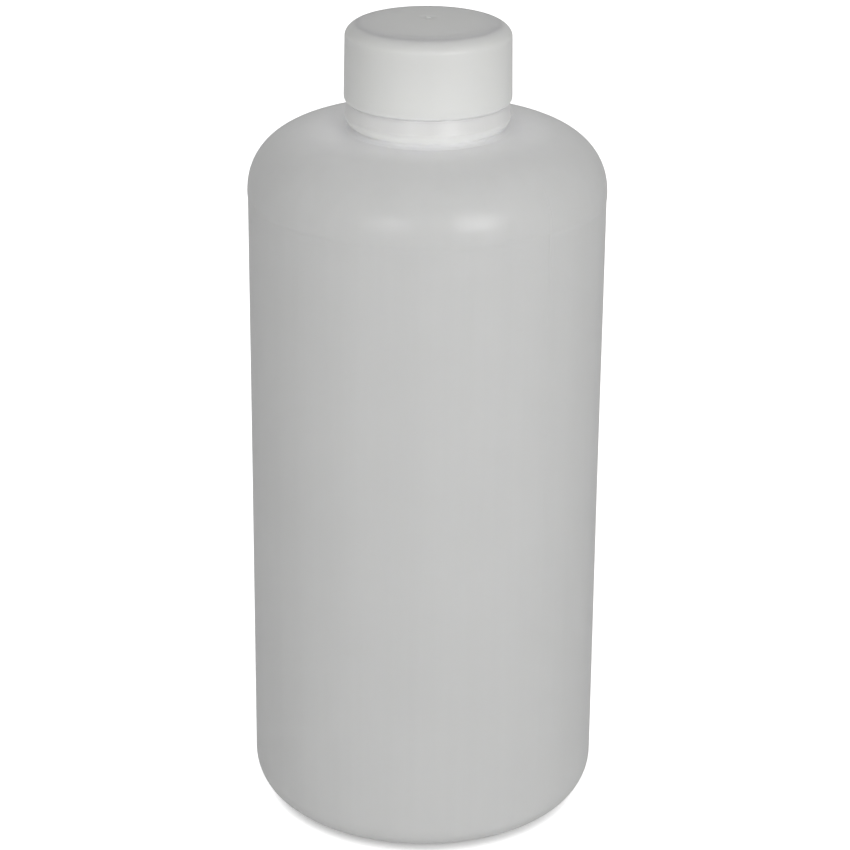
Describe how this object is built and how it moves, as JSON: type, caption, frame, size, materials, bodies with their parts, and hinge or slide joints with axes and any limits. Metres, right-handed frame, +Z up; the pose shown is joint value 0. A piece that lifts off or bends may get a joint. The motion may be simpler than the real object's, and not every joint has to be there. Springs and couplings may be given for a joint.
{
  "type": "screw-cap reagent bottle",
  "caption": "Round plastic reagent bottle with a domed shoulder, a beaded threaded neck and a plain screw cap that holds a soft sealing disc.",
  "frame": {"origin": "centre of the bottle's base, on the plane it stands on", "axes": "+Z up along the bottle's axis, towards the cap; the mould's parting line lies in the XZ plane"},
  "size_m": [0.0914, 0.0914, 0.2128],
  "materials": {
    "natural_polyethylene": "satin",
    "white_polyethylene": "satin",
    "foamed_polyethylene": "matte"
  },
  "bodies": {
    "bottle": {"bottle": "natural_polyethylene"},
    "disc": {"cap_liner": "foamed_polyethylene"},
    "cap": {"screw_cap": "white_polyethylene"}
  },
  "joints": [
    {"name": "cap_lift", "type": "slide", "parent": "bottle", "child": "disc", "axis": [0, 0, 1], "range_m": [0, 0.024]},
    {"name": "cap_turn", "type": "hinge", "parent": "disc", "child": "cap", "pos_m": [0, 0, 0.2], "axis": [0, 0, 1], "range_deg": [0, 2040]}
  ],
  "couplings": [
    {"joint": "cap_lift", "follows": "cap_turn", "m_per_rad": 0.00067377}
  ]
}
